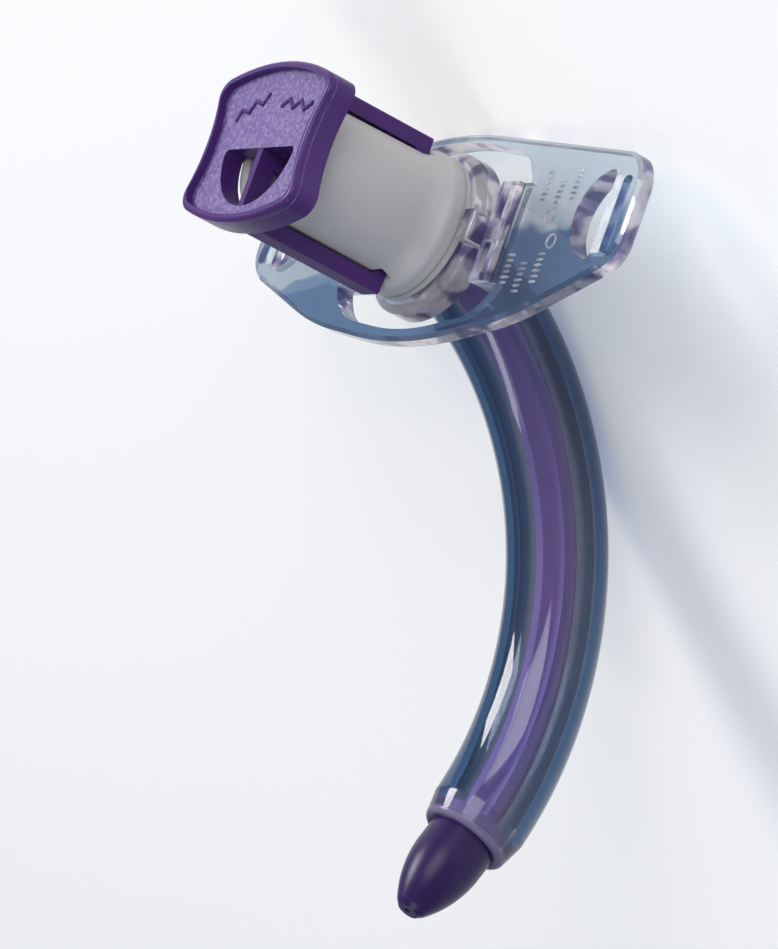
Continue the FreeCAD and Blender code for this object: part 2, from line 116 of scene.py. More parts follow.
@dataclass(frozen=True)
class TubeSizes:
    """Sizes of the curved tube, in millimetres and degrees."""

    diameter: float = 12.0
    bore: float = 8.7
    top: float = 2.6
    lead_radius: float = 23.0
    lead_angle: float = 21.0
    long_radius: float = 47.2
    long_angle: float = 90.0
    taper_length: float = 3.4
    end_diameter: float = 10.6
    end_rounding: float = 0.5

    def whole_angle(self) -> float:
        """Angle of both bends together, in radians."""
        return math.radians(self.lead_angle + self.long_angle)

    def bend_angle(self, head: "Term", out: "Term") -> "Term":
        """How far round the bends a point lies, in radians from the tube's top.

        Args:
            head: The point's Y in the wearer's frame.
            out: Its Z.

        Returns:
            The angle, exact on the long bend.
        """
        lead = math.radians(self.lead_angle)
        step = self.long_radius - self.lead_radius
        beside = head + (self.lead_radius + step * math.cos(lead))
        below = (out - (self.top + step * math.sin(lead))) * -1.0
        return below.bearing(beside)


@dataclass(frozen=True)
class PlateSizes:
    """Sizes of the obturator's head plate, in millimetres."""

    face: float = 25.0
    thickness: float = 3.6
    recess: float = 1.0
    arm_from: float = 6.9


@dataclass(frozen=True)
class ZigzagSizes:
    """Sizes of the raised zigzags on the head plate's floor, in millimetres."""

    floor: float = PlateSizes.face - PlateSizes.recess
    depth: float = 1.0
    width: float = 0.60
    pitch: float = 1.25
    spread: float = 4.6
    head: float = 4.7


@dataclass(frozen=True)
class FlangeSizes:
    """Sizes of the neck flange's front, its brackets and its grooves, in millimetres."""

    front: float = -1.5
    bar_from: float = 32.5
    groove_from: float = 34.12
    groove_to: float = 35.98
    groove_middle: float = 1.9
    groove_half: float = 4.75
    groove_depth: float = 1.0
    bracket_side: float = 14.75
    bracket_half: float = 6.1
    # Half width of the painted shade line in the crease beside the near bracket.
    seam: float = 0.55


@dataclass(frozen=True)
class StrokeSizes:
    """Sizes of the raised strokes and their ring on the near wing, in millimetres."""

    front: float = FlangeSizes.front
    length: float = 1.75
    width: float = 0.42
    height: float = 0.20
    pitch: float = 0.68
    column_pitch: float = 2.9
    column_wave: float = 1.1
    first_x: float = 17.5
    first_y: float = -2.8
    ring_radius: float = 0.82
    ring_width: float = 0.34
    ring_x: float = 24.3
    ring_y: float = -1.25

    @classmethod
    def upper(cls) -> "StrokeSizes":
        """Sizes of the second, fainter group, nearer to the head."""
        return cls(first_x=19.6, first_y=7.4, height=0.12, ring_x=22.3, ring_y=1.9)


def named(sizes: object) -> dict[str, float]:
    """The sizes of a dataclass, each under its name in plain words."""
    return {field.name.replace("_", " ").title(): getattr(sizes, field.name) for field in fields(sizes)}


def feed(tree: bpy.types.NodeTree, socket: Socket, value: Value) -> None:
    """Links an input to what feeds it, or sets it to a plain value.

    Args:
        tree: The tree.
        socket: The input.
        value: A Term, an output or a plain value.
    """
    source = value.source if isinstance(value, Term) else value
    if isinstance(source, Socket):
        tree.links.new(source, socket)
    else:
        socket.default_value = source


def added(
    tree: bpy.types.NodeTree, kind: str, inputs: dict[Union[str, int], Value], **settings: object
) -> bpy.types.Node:
    """Adds a node and fills its inputs.

    Args:
        tree: The tree.
        kind: The node's type.
        inputs: What each input gets, by its name or its number.
        settings: The node's own settings, made before its inputs are filled.

    Returns:
        The node.
    """
    node = tree.nodes.new(kind)
    for label, setting in settings.items():
        setattr(node, label, setting)
    for label, value in inputs.items():
        feed(tree, node.inputs[label], value)
    return node


class Term:
    """A number in a node tree, so that a formula can be written with plain signs."""

    def __init__(self, tree: bpy.types.NodeTree, source: Union[float, Socket]) -> None:
        """Keeps the tree and the socket or plain number."""
        self.tree = tree
        self.source = source

    def _put(self, operation: str, *others: "Term | float") -> "Term":
        """Adds one Math node.

        Args:
            operation: The Math node's operation.
            others: The second and third operands.

        Returns:
            The node's result.
        """
        operands = dict(enumerate((self, *others)))
        return Term(self.tree, added(self.tree, "ShaderNodeMath", operands, operation=operation).outputs[0])

    def __add__(self, other: "Term | float") -> "Term":
        """Sum."""
        return self._put("ADD", other)

    def __sub__(self, other: "Term | float") -> "Term":
        """Difference."""
        return self._put("SUBTRACT", other)

    def __mul__(self, other: "Term | float") -> "Term":
        """Product."""
        return self._put("MULTIPLY", other)

    def __truediv__(self, other: "Term | float") -> "Term":
        """Quotient."""
        return self._put("DIVIDE", other)

    def reversed_from(self, whole: float) -> "Term":
        """A plain number less this one."""
        return Term(self.tree, whole) - self

    def sine(self) -> "Term":
        """Sine of an angle in radians."""
        return self._put("SINE")

    def cosine(self) -> "Term":
        """Cosine of an angle in radians."""
        return self._put("COSINE")

    def absolute(self) -> "Term":
        """Size without the sign."""
        return self._put("ABSOLUTE")

    def power(self, exponent: float) -> "Term":
        """This number raised to a power."""
        return self._put("POWER", exponent)

    def root(self) -> "Term":
        """Square root."""
        return self._put("SQRT")

    def at_least(self, other: "Term | float") -> "Term":
        """The larger of the two."""
        return self._put("MAXIMUM", other)

    def at_most(self, other: "Term | float") -> "Term":
        """The smaller of the two."""
        return self._put("MINIMUM", other)

    def over(self, other: "Term | float") -> "Term":
        """1 where this is greater than the other, else 0."""
        return self._put("GREATER_THAN", other)

    def under(self, other: "Term | float") -> "Term":
        """1 where this is less than the other, else 0."""
        return self._put("LESS_THAN", other)

    def between(self, low: float, high: float) -> "Term":
        """1 where this lies between two numbers, else 0."""
        return self.over(low) * self.under(high)

    def bearing(self, other: "Term | float") -> "Term":
        """Angle whose tangent is this number over the other, in radians."""
        return self._put("ARCTAN2", other)

    def stepped(self, low: float, high: float) -> "Term":
        """A smooth step.

        Args:
            low: Where it starts to rise from 0.
            high: Where it reaches 1.

        Returns:
            The step, from 0 to 1.
        """
        inputs = {"Value": self, "From Min": low, "From Max": high}
        ramp = added(self.tree, "ShaderNodeMapRange", inputs, interpolation_type="SMOOTHSTEP")
        return Term(self.tree, ramp.outputs["Result"])


def blended(low: Term, high: Term, share: Term) -> Term:
    """Low where share is 0, high where it is 1."""
    return low + (high - low) * share


def new_group(
    name: str, kind: str, inputs: dict[str, tuple[str, float]], outputs: dict[str, str]
) -> tuple[bpy.types.NodeTree, bpy.types.Node, bpy.types.Node]:
    """Makes a node group with named sockets and nothing between them.

    Args:
        name: The group's name.
        kind: The tree's type.
        inputs: Socket type and default value of each input.
        outputs: Socket type of each output.

    Returns:
        The group, its input node and its output node.
    """
    group = bpy.data.node_groups.new(name, kind)
    for label, (socket_type, default) in inputs.items():
        socket = group.interface.new_socket(label, in_out="INPUT", socket_type=socket_type)
        if socket_type == "NodeSocketFloat":
            socket.default_value = default
    for label, socket_type in outputs.items():
        group.interface.new_socket(label, in_out="OUTPUT", socket_type=socket_type)
    return group, group.nodes.new("NodeGroupInput"), group.nodes.new("NodeGroupOutput")


class ShapeTree:
    """A Geometry Nodes tree with one named input for each size, in the wearer's frame."""

    strand_sides: int = 12

    def __init__(self, name: str, sizes: object) -> None:
        """Starts the tree.

        Args:
            name: The tree's name.
            sizes: The dataclass of its sizes.
        """
        self.values = named(sizes)
        inputs = {label: ("NodeSocketFloat", 1.0) for label in self.values}
        inputs["Material"] = ("NodeSocketMaterial", 0.0)
        outputs = {"Geometry": "NodeSocketGeometry"}
        self.tree, self.start, self.end = new_group(name, "GeometryNodeTree", inputs, outputs)
        self.size = {label: Term(self.tree, self.start.outputs[label]) for label in self.values}

    def add(self, kind: str, inputs: dict[Union[str, int], Value], **settings: object) -> bpy.types.Node:
        """Adds a node to the tree, as added does."""
        return added(self.tree, "GeometryNode" + kind, inputs, **settings)

    def place(self) -> tuple[Term, Term]:
        """Where a point is before it is moved.

        Returns:
            Its X and Y.
        """
        split = added(self.tree, "ShaderNodeSeparateXYZ", {0: self.add("InputPosition", {}).outputs[0]})
        return Term(self.tree, split.outputs["X"]), Term(self.tree, split.outputs["Y"])

    def vector(self, x: Term, y: Term, z: Union[Term, float]) -> Socket:
        """Three numbers as one vector."""
        return added(self.tree, "ShaderNodeCombineXYZ", {"X": x, "Y": y, "Z": z}).outputs[0]

    def strand(self, curve: Socket, width: Term, capped: bool) -> Socket:
        """Lays a round strand along a curve.

        Args:
            curve: The curve.
            width: The strand's diameter.
            capped: Whether its ends are closed.

        Returns:
            The strand.
        """
        profile = self.add("CurvePrimitiveCircle", {"Resolution": self.strand_sides, "Radius": width * 0.5})
        inputs = {"Curve": curve, "Profile Curve": profile.outputs[0], "Fill Caps": capped}
        return self.add("CurveToMesh", inputs).outputs[0]

    def made(
        self, name: str, shape: Socket, material: bpy.types.Material, wearer: WearerFrame
    ) -> bpy.types.Object:
        """Ends the tree, runs it on an empty mesh and keeps the plain result.

        Args:
            name: The piece's name.
            shape: The finished geometry.
            material: The piece's finish.
            wearer: The frame that the sizes are in.

        Returns:
            The piece, a plain mesh in the row frame.
        """
        whole = self.add("RealizeInstances", {"Geometry": shape})
        smooth = self.add("SetShadeSmooth", {"Geometry": whole.outputs[0]})
        finish = self.start.outputs["Material"]
        dress = self.add("SetMaterial", {"Geometry": smooth.outputs[0], "Material": finish})
        feed(self.tree, self.end.inputs["Geometry"], dress.outputs[0])
        carrier = bpy.data.objects.new(name + "_carrier", bpy.data.meshes.new(name + "_carrier"))
        bpy.context.scene.collection.objects.link(carrier)
        modifier = carrier.modifiers.new("shape", "NODES")
        modifier.node_group = self.tree
        values = {**self.values, "Material": material}
        for item in self.tree.interface.items_tree:
            if item.in_out == "INPUT":
                modifier[item.identifier] = values[item.name]
        bpy.context.view_layer.update()
        graph = bpy.context.evaluated_depsgraph_get()
        mesh = bpy.data.meshes.new_from_object(carrier.evaluated_get(graph), depsgraph=graph)
        bpy.data.objects.remove(carrier)
        mesh.name = name
        mesh.transform(wearer.to_row)
        piece = bpy.data.objects.new(name, mesh)
        bpy.context.scene.collection.objects.link(piece)
        return piece


class SurfaceGroups:
    """Shader node groups that more than one finish uses, each built once."""

    smudge_detail: float = 3.0
    wipe_detail: float = 5.0
    wipe_stretch: Triple = (1.0, 9.0, 1.6)
    wipe_share: float = 0.38
    mark_limits: Limits = (0.52, 0.78)
    cell_smoothness: float = 0.35
    cell_share: float = 0.45
    speck_detail: float = 4.0
    speck_roughness: float = 0.62
    speck_limits: Limits = (0.42, 0.66)

    def __init__(self) -> None:
        """Builds the groups."""
        self.handling = self._handling()
        self.grain = self._grain()

    def _handling(self) -> bpy.types.NodeTree:
        """Soft smudges and a few fine wiping marks, for roughness.

        Returns:
            The group, whose Mask is about 0 on clean plastic and 1 on a smudge.
        """
        inputs = {"Vector": ("NodeSocketVector", 0.0), "Scale": ("NodeSocketFloat", 120.0)}
        outputs = {"Mask": "NodeSocketFloat"}
        group, start, end = new_group("Handling_Marks", "ShaderNodeTree", inputs, outputs)
        where = {label: start.outputs[label] for label in ("Vector", "Scale")}
        smudges = added(group, "ShaderNodeTexNoise", {**where, "Detail": self.smudge_detail})
        stretch = {"Vector": where["Vector"], "Scale": self.wipe_stretch}
        where["Vector"] = added(group, "ShaderNodeMapping", stretch).outputs[0]
        wipes = added(group, "ShaderNodeTexNoise", {**where, "Detail": self.wipe_detail})
        soft = Term(group, smudges.outputs[0]) * (1.0 - self.wipe_share)
        marks = soft + Term(group, wipes.outputs[0]) * self.wipe_share
        feed(group, end.inputs["Mask"], marks.stepped(*self.mark_limits))
        return group

    def _grain(self) -> bpy.types.NodeTree:
        """Fine spark-eroded mould texture.

        Returns:
            The group, with its Height and a Speckle mask of the small bright grains.
        """
        inputs = {"Vector": ("NodeSocketVector", 0.0), "Scale": ("NodeSocketFloat", 2400.0)}
        outputs = {"Height": "NodeSocketFloat", "Speckle": "NodeSocketFloat"}
        group, start, end = new_group("Mould_Grain", "ShaderNodeTree", inputs, outputs)
        where = {label: start.outputs[label] for label in ("Vector", "Scale")}
        inputs = {**where, "Smoothness": self.cell_smoothness}
        cells = added(group, "ShaderNodeTexVoronoi", inputs, feature="SMOOTH_F1")
        inputs = {**where, "Detail": self.speck_detail, "Roughness": self.speck_roughness}
        specks = Term(group, added(group, "ShaderNodeTexNoise", inputs).outputs[0])
        domes = Term(group, cells.outputs["Distance"]).reversed_from(1.0)
        height = domes * self.cell_share + specks * (1.0 - self.cell_share)
        feed(group, end.inputs["Height"], height)
        feed(group, end.inputs["Speckle"], specks.stepped(*self.speck_limits))
        return group


class Finish:
    """Common steps of every finish's material."""

    def __init__(self, name: str, groups: SurfaceGroups) -> None:
        """Starts a material with its shader, output and Object coordinates.

        Args:
            name: The material's name.
            groups: The shared node groups.
        """
        self.groups = groups
        self.material = bpy.data.materials.new(name)
        self.material.use_nodes = True
        self.tree = self.material.node_tree
        self.tree.nodes.clear()
        self.shader = self.add("BsdfPrincipled", {})
        self.output = self.add("OutputMaterial", {"Surface": self.shader.outputs[0]})
        self.coordinates = self.add("TexCoord", {}).outputs["Object"]

    def add(self, kind: str, inputs: dict[Union[str, int], Value], **settings: object) -> bpy.types.Node:
        """Adds a shader node, as added does."""
        return added(self.tree, "ShaderNode" + kind, inputs, **settings)

    def give(self, label: str, value: Value) -> None:
        """Feeds or sets one of the shader's own inputs."""
        feed(self.tree, self.shader.inputs[label], value)

    def place(self, group: bpy.types.NodeTree, scale: float) -> bpy.types.Node:
        """Puts a shared group on the Object coordinates, at a scale in cells per metre."""
        return self.add("Group", {"Scale": scale, "Vector": self.coordinates}, node_tree=group)

    def handling(self, scale: float) -> Term:
        """Handling marks, 0 on clean plastic and 1 on a smudge."""
        return Term(self.tree, self.place(self.groups.handling, scale).outputs["Mask"])

    def bump_from(self, height: Value, depth: float) -> None:
        """Feeds a height into the shader's normal.

        Args:
            height: The height, from 0 to 1.
            depth: What 1 stands for, in metres.
        """
        bump = self.add("Bump", {"Distance": depth, "Strength": 1.0, "Height": height})
        self.give("Normal", bump.outputs[0])

    def wearer_place(self, wearer: WearerFrame) -> tuple[Term, Term, Term]:
        """Coordinates in the wearer's frame, in millimetres, read from the Object coordinates."""
        return self._turned(self.coordinates, wearer.to_row.inverted(), 1.0 / MM)

    def wearer_normal(self, wearer: WearerFrame) -> tuple[Term, Term, Term]:
        """The surface's direction in the wearer's frame."""
        bare = wearer.to_row.inverted().to_3x3().normalized().to_4x4()
        return self._turned(self.add("TexCoord", {}).outputs["Normal"], bare, 1.0)

    def _turned(self, vector: Socket, move: Matrix, scale: float) -> tuple[Term, Term, Term]:
        """Moves and turns a vector, with a scale of its own, and takes its three numbers apart."""
        inputs = {
            "Vector": vector, "Location": move.to_translation(), "Rotation": move.to_euler("XYZ"),
            "Scale": (scale,) * 3,
        }
        split = self.add("SeparateXYZ", {0: self.add("Mapping", inputs).outputs[0]})
        return tuple(Term(self.tree, split.outputs[axis]) for axis in "XYZ")

    def noise(self, scale: float, detail: float = 2.0, stretch: Triple = (1.0, 1.0, 1.0)) -> Term:
        """Smooth noise on the Object coordinates.

        Args:
            scale: Its scale, in cells per metre.
            detail: How many finer layers it has.
            stretch: What each coordinate is multiplied by.

        Returns:
            The noise, from 0 to 1.
        """
        spread = self.add("Mapping", {"Vector": self.coordinates, "Scale": stretch})
        node = self.add("TexNoise", {"Vector": spread.outputs[0], "Scale": scale, "Detail": detail})
        return Term(self.tree, node.outputs[0])

    def mixed(self, low: Paint, high: Paint, share: Term) -> Socket:
        """Mixes two colours.

        Args:
            low: The colour where share is 0, plain or from a node.
            high: The colour where it is 1.
            share: The share.

        Returns:
            The mixed colour.
        """
        first, second = ((*paint, 1.0) if isinstance(paint, tuple) else paint for paint in (low, high))
        inputs = {"A": first, "B": second, "Factor": share}
        return self.add("Mix", inputs, data_type="RGBA").outputs["Result"]

    def edge_on(self, low: float, high: float) -> Term:
        """0 where the surface faces the viewer, 1 where it is seen edge-on."""
        weight = self.add("LayerWeight", {"Blend": 0.5})
        return Term(self.tree, weight.outputs["Facing"]).stepped(low, high)


@dataclass(frozen=True)
class ClearBody:
    """What makes a plastic clear: how it bends, absorbs and scatters light."""

    clearness: float
    depth_colour: Colour
    depth_density: float
    refraction: float
    roughness: float
    waviness: float
    wave_scale: float
    shadow: Colour
    wave_detail: float = 1.5
    smudge_scale: float = 90.0
    smudge_roughness: float = 0.08

    def apply(self, finish: Finish) -> Term:
        """Makes a finish's shader clear.

        Args:
            finish: The finish, whose base colour is set apart.

        Returns:
            The mask of handling marks on it.
        """
        finish.give("Transmission Weight", self.clearness)
        finish.give("IOR", self.refraction)
        finish.give("Metallic", 0.0)
        marks = finish.handling(self.smudge_scale)
        finish.give("Roughness", marks * self.smudge_roughness + self.roughness)
        finish.bump_from(finish.noise(self.wave_scale, self.wave_detail), self.waviness)
        inputs = {"Color": (*self.depth_colour, 1.0), "Density": self.depth_density}
        depth = finish.add("VolumeAbsorption", inputs)
        through = finish.add("BsdfTransparent", {"Color": (*self.shadow, 1.0)})
        shadow_ray = finish.add("LightPath", {}).outputs["Is Shadow Ray"]
        mix = finish.add("MixShader", {0: shadow_ray, 1: finish.shader.outputs[0], 2: through.outputs[0]})
        feed(finish.tree, finish.output.inputs["Volume"], depth.outputs[0])
        feed(finish.tree, finish.output.inputs["Surface"], mix.outputs[0])
        return marks

    @staticmethod
    def matt(finish: Finish, share: Term, colour: Colour) -> None:
        """Makes a part of the surface matt, as a cut or rubbed plastic is.

        Args:
            finish: The finish, after apply.
            share: How matt each point is, from 0 to 1.
            colour: The matt colour.
        """
        mix = finish.output.inputs["Surface"].links[0].from_node
        dull = finish.add("BsdfDiffuse", {"Color": (*colour, 1.0)})
        blend = finish.add("MixShader", {0: share, 1: finish.shader.outputs[0], 2: dull.outputs[0]})
        feed(finish.tree, mix.inputs[1], blend.outputs[0])


class Plastic:
    """A finish, whose own class names it and fills it in."""

    name: str

    def dress(self, finish: Finish) -> None:
        """Fills in the material, in each finish's own way."""
        raise NotImplementedError

    def make(self, groups: SurfaceGroups) -> bpy.types.Material:
        """Builds the material.

        Args:
            groups: The shared node groups.

        Returns:
            The material.
        """
        finish = Finish(self.name, groups)
        self.dress(finish)
        return finish.material


@dataclass(frozen=True)
class TubePlastic(Plastic):
    """Soft clear plastic of the curved tube, with a painted deep blue reflection where it is seen edge-on.

    The rim and the taper are counted back from the lower end, in radians along the bend.
    """

    tube: TubeSizes
    wearer: WearerFrame
    name: str = "tube_clear"
    middle: Colour = (0.40, 0.42, 0.49)
    streak: Colour = (0.31, 0.37, 0.49)
    # Painted reflection: the deep blue mixed in where the tube is seen edge-on.
    edge: Colour = (0.006, 0.045, 0.15)
    end: Colour = (0.84, 0.80, 0.88)
    cut: Colour = (0.25, 0.20, 0.34)
    streak_scale: float = 45.0
    streak_smudge: float = 0.2
    streak_limits: Limits = (0.40, 0.66)
    edge_limits: Limits = (0.16, 0.38)
    rim: Limits = (0.022, 0.010)
    rim_matt: float = 0.34
    taper: Limits = (0.085, 0.020)
    taper_matt: float = 0.22
    body: ClearBody = ClearBody(
        clearness=0.975, depth_colour=(0.34, 0.38, 0.50), depth_density=110.0, refraction=1.43,
        roughness=0.05, waviness=0.00004, wave_scale=70.0, shadow=(0.62, 0.70, 0.82),
    )

    def dress(self, finish: Finish) -> None:
        """Fills in the material.

        Args:
            finish: The empty finish.
        """
        marks = self.body.apply(finish)
        cloud = (finish.noise(self.streak_scale) + marks * self.streak_smudge).stepped(*self.streak_limits)
        paint = finish.mixed(self.middle, self.streak, cloud)
        # Painted reflection: deep blue towards the tube's edges, where it is seen edge-on.
        paint = finish.mixed(paint, self.edge, finish.edge_on(*self.edge_limits))
        _, head, out = finish.wearer_place(self.wearer)
        whole = self.tube.whole_angle()
        along = self.tube.bend_angle(head, out)
        inside = out.under(0.0)
        rim = along.stepped(*(whole - limit for limit in self.rim)) * inside
        taper = along.stepped(*(whole - limit for limit in self.taper)) * inside
        finish.give("Base Color", finish.mixed(paint, self.end, rim))
        self.body.matt(finish, rim * self.rim_matt + taper * self.taper_matt, self.cut)


@dataclass(frozen=True)
class MouldingPlastic(Plastic):
    """Hard clear plastic of the hub and the flange, hazy above, with a painted blue reflection below and
    painted glints and dark reflections mottled on its walls.

    The border between haze and the painted blue is a height in millimetres that wanders and slopes. Limits
    are where a smooth step starts and ends.
    """

    wearer: WearerFrame
    flange: FlangeSizes
    name: str = "moulding_clear"
    haze: Colour = (0.60, 0.645, 0.66)
    # Painted reflection: the blue that the face gets below the border.
    blue: Colour = (0.130, 0.215, 0.360)
    # Painted reflection: the deep blue in the groove beside the slot.
    groove: Colour = (0.085, 0.170, 0.320)
    # Painted highlight and painted dark reflection: the pale glints and the dark patches between them on
    # the walls.
    wall: Colour = (1.0, 0.88, 0.86)
    wall_painted_dark_reflection: Colour = (0.17, 0.13, 0.30)
    # Painted highlight: the pale bar between the slot and the groove.
    bar: Colour = (0.86, 0.88, 0.88)
    # Painted shade: the dark line in the crease at the near bracket's foot.
    seam: Colour = (0.030, 0.045, 0.085)
    border: Limits = (-2.8, -1.2)
    border_scale: float = 110.0
    border_detail: float = 4.0
    border_stretch: Triple = (1.0, 0.6, 1.0)
    border_wander: float = 15.0
    border_slope: float = 0.12
    far_border: float = 2.2
    far_blue: float = 0.30
    smudge_blue: float = 0.1
    flat_limits: Limits = (0.45, 0.75)
    foot_limits: Limits = (0.4, 0.8)
    # Painted glints on the walls, brighter on the raised hub and brackets and on walls that face away from
    # the head.
    glint_scale: float = 400.0
    glint_detail: float = 1.6
    glint_stretch: Triple = (1.0, 1.0, 0.5)
    glint_raised: float = 0.03
    glint_foot: float = 0.07
    glint_limits: Limits = (0.41, 0.58)
    body: ClearBody = ClearBody(
        clearness=0.78, depth_colour=(0.40, 0.60, 0.80), depth_density=40.0, refraction=1.53,
        roughness=0.03, waviness=0.00010, wave_scale=170.0, shadow=(0.74, 0.81, 0.88),
    )

    def dress(self, finish: Finish) -> None:
        """Fills in the material.

        Args:
            finish: The empty finish.
        """
        marks = self.body.apply(finish)
        x, y, z = finish.wearer_place(self.wearer)
        _, towards_head, towards_front = finish.wearer_normal(self.wearer)
        raised = z.over(self.flange.front + 2.0 * MARGIN)
        far = x.under(0.0)
        # Painted reflection: blue below a border that wanders and slopes, pale haze above it; the far wing
        # and smudges get more blue.
        cloud = finish.noise(self.border_scale, self.border_detail, self.border_stretch)
        wander = (cloud - 0.5) * self.border_wander
        height = y + wander - x * self.border_slope + far * self.far_border
        low = height.stepped(*self.border).reversed_from(1.0)
        low = (low + marks * self.smudge_blue + far * self.far_blue).at_most(1.0)
        face = finish.mixed(self.haze, self.blue, low)
        # Painted light on the narrow strips: a deep blue reflection in the groove, a highlight on the bar
        # and shade in the crease at the bracket's foot.
        groove, bar, seam = self.strips(x.absolute(), y, z)
        face = finish.mixed(finish.mixed(face, self.seam, seam), self.bar, bar)
        # Painted highlight: walls that face away from the head get brighter glints.
        foot = (towards_head * -1.0).stepped(*self.foot_limits)
        glint = finish.noise(self.glint_scale, self.glint_detail, self.glint_stretch)
        glint = glint + raised * self.glint_raised + foot * self.glint_foot
        # The walls are painted with glints and dark reflections.
        side = finish.mixed(self.wall_painted_dark_reflection, self.wall, glint.stepped(*self.glint_limits))
        flat = towards_front.absolute().stepped(*self.flat_limits) * raised.reversed_from(1.0)
        finish.give("Base Color", finish.mixed(finish.mixed(side, face, flat), self.groove, groove))

    def strips(self, along: Term, y: Term, z: Term) -> tuple[Term, Term, Term]:
        """Finds the narrow strips of the flange that are painted with light and shade of their own.

        Args:
            along: Distance from the middle plane, in millimetres.
            y: Height towards the head.
            z: Height out of the neck.

        Returns:
            Masks of the painted reflection in the groove, the painted highlight on the bar between slot and
            groove, and the painted shade in the crease at the bracket's foot.
        """
        size = self.flange
        beside_slot = (y - size.groove_middle).absolute().under(size.groove_half)
        sunk = z.between(size.front - size.groove_depth, size.front - MARGIN)
        groove = along.between(size.groove_from, size.groove_to) * beside_slot * sunk
        bar = along.between(size.bar_from, size.groove_from) * beside_slot
        seam = (along - size.bracket_side).absolute().under(size.seam)
        return groove, bar, seam * y.absolute().under(size.bracket_half)


@dataclass(frozen=True)
class MarkPlastic(Plastic):
    """Clear plastic of the flange's raised marks, which catch the light as pale strokes."""

    name: str = "raised_mark_clear"
    pale: Colour = (0.60, 0.60, 0.66)
    dull: Colour = (0.36, 0.38, 0.46)
    dull_scale: float = 900.0
    dull_smudge: float = 0.2
    dull_limits: Limits = (0.4, 0.6)
    body: ClearBody = ClearBody(
        clearness=0.35, depth_colour=(0.60, 0.70, 0.80), depth_density=20.0, refraction=1.53,
        roughness=0.08, waviness=0.00002, wave_scale=900.0, shadow=(0.80, 0.85, 0.90),
    )

    def dress(self, finish: Finish) -> None:
        """Fills in the material.

        Args:
            finish: The empty finish.
        """
        marks = self.body.apply(finish)
        dull = (finish.noise(self.dull_scale) + marks * self.dull_smudge).stepped(*self.dull_limits)
        finish.give("Base Color", finish.mixed(self.pale, self.dull, dull))


@dataclass(frozen=True)
class ConePlastic(Plastic):
    """Opaque satin grey plastic of the connector."""

    name: str = "connector_grey"
    colour: Colour = (0.455, 0.44, 0.435)
    shade: Colour = (0.415, 0.40, 0.40)
    roughness: float = 0.44
    smudge_scale: float = 70.0
    smudge_roughness: float = 0.14
    grain_scale: float = 5200.0
    grain_depth: float = 0.000006
    glow: float = 0.25
    glow_colour: Colour = (1.0, 0.9, 0.9)
    glow_depth: float = 0.0012

    def dress(self, finish: Finish) -> None:
        """Fills in the material.

        Args:
            finish: The empty finish.
        """
        marks = finish.handling(self.smudge_scale)
        grain = finish.place(finish.groups.grain, self.grain_scale)
        finish.give("Base Color", finish.mixed(self.colour, self.shade, marks))
        finish.give("Roughness", marks * self.smudge_roughness + self.roughness)
        finish.bump_from(grain.outputs["Height"], self.grain_depth)
        finish.give("Subsurface Weight", self.glow)
        finish.give("Subsurface Radius", self.glow_colour)
        finish.give("Subsurface Scale", self.glow_depth)


@dataclass(frozen=True)
class ObturatorPlastic(Plastic):
    """Purple satin plastic, with a paler spark-textured floor in the head plate's recess.

    The stem, which is seen through the tube, is paler as painted light, and the bullet tip is darker as
    painted shade.
    """

    plate: PlateSizes
    tube: TubeSizes
    wearer: WearerFrame
    name: str = "obturator_purple"
    colour: Colour = (0.060, 0.018, 0.132)
    streak: Colour = (0.052, 0.016, 0.120)
    recess_colour: Colour = (0.125, 0.080, 0.245)
    speckle_colour: Colour = (0.215, 0.170, 0.325)
    # Painted light: the paler colour of the stem where it is seen through the tube.
    stem_painted_light: Colour = (0.76, 0.40, 0.74)
    # Painted shade: the darker colour of the bullet tip.
    tip_painted_shade: Colour = (0.022, 0.008, 0.066)
    tip_angle: float = 0.03
    smudge_scale: float = 80.0
    grain_scale: float = 1900.0
    grain_depth: float = 0.00022
    grain_on_floor: float = 0.95
    grain_elsewhere: float = 0.03
    roughness: float = 0.32
    smudge_roughness: float = 0.10
    floor_roughness: float = 0.20
    arm_roughness: float = 0.22
    refraction: float = 1.38
    gloss: float = 0.40

    def dress(self, finish: Finish) -> None:
        """Fills in the material.

        Args:
            finish: The empty finish.
        """
        x, y, z = finish.wearer_place(self.wearer)
        bottom = self.plate.face - self.plate.recess
        floor = z.between(bottom - MARGIN, bottom + MARGIN)
        grain = finish.place(finish.groups.grain, self.grain_scale)
        height, speckle = (Term(finish.tree, grain.outputs[label]) for label in ("Height", "Speckle"))
        marks = finish.handling(self.smudge_scale)
        recess = finish.mixed(self.recess_colour, self.speckle_colour, speckle)
        plain = finish.mixed(self.colour, self.streak, marks)
        lower_end = self.tube.whole_angle() - self.tip_angle
        along = self.tube.bend_angle(y, z)
        # Painted light: the stem inside the tube is painted paler.
        painted_lit_stem = finish.mixed(plain, self.stem_painted_light, along.under(lower_end) * z.under(self.tube.top))
        # Painted shade: the bullet tip past the tube's end is painted darker.
        painted_shade_tip = finish.mixed(painted_lit_stem, self.tip_painted_shade, along.over(lower_end) * z.under(0.0))
        finish.give("Base Color", finish.mixed(painted_shade_tip, recess, floor))
        below_plate = z.between(0.0, self.plate.face - self.plate.thickness)
        arms = y.absolute().over(self.plate.arm_from) * below_plate
        rough = marks * self.smudge_roughness + floor * self.floor_roughness
        finish.give("Roughness", rough + arms * self.arm_roughness + self.roughness)
        finish.bump_from(height * (floor * self.grain_on_floor + self.grain_elsewhere), self.grain_depth)
        finish.give("IOR", self.refraction)
        finish.give("Specular IOR Level", self.gloss)


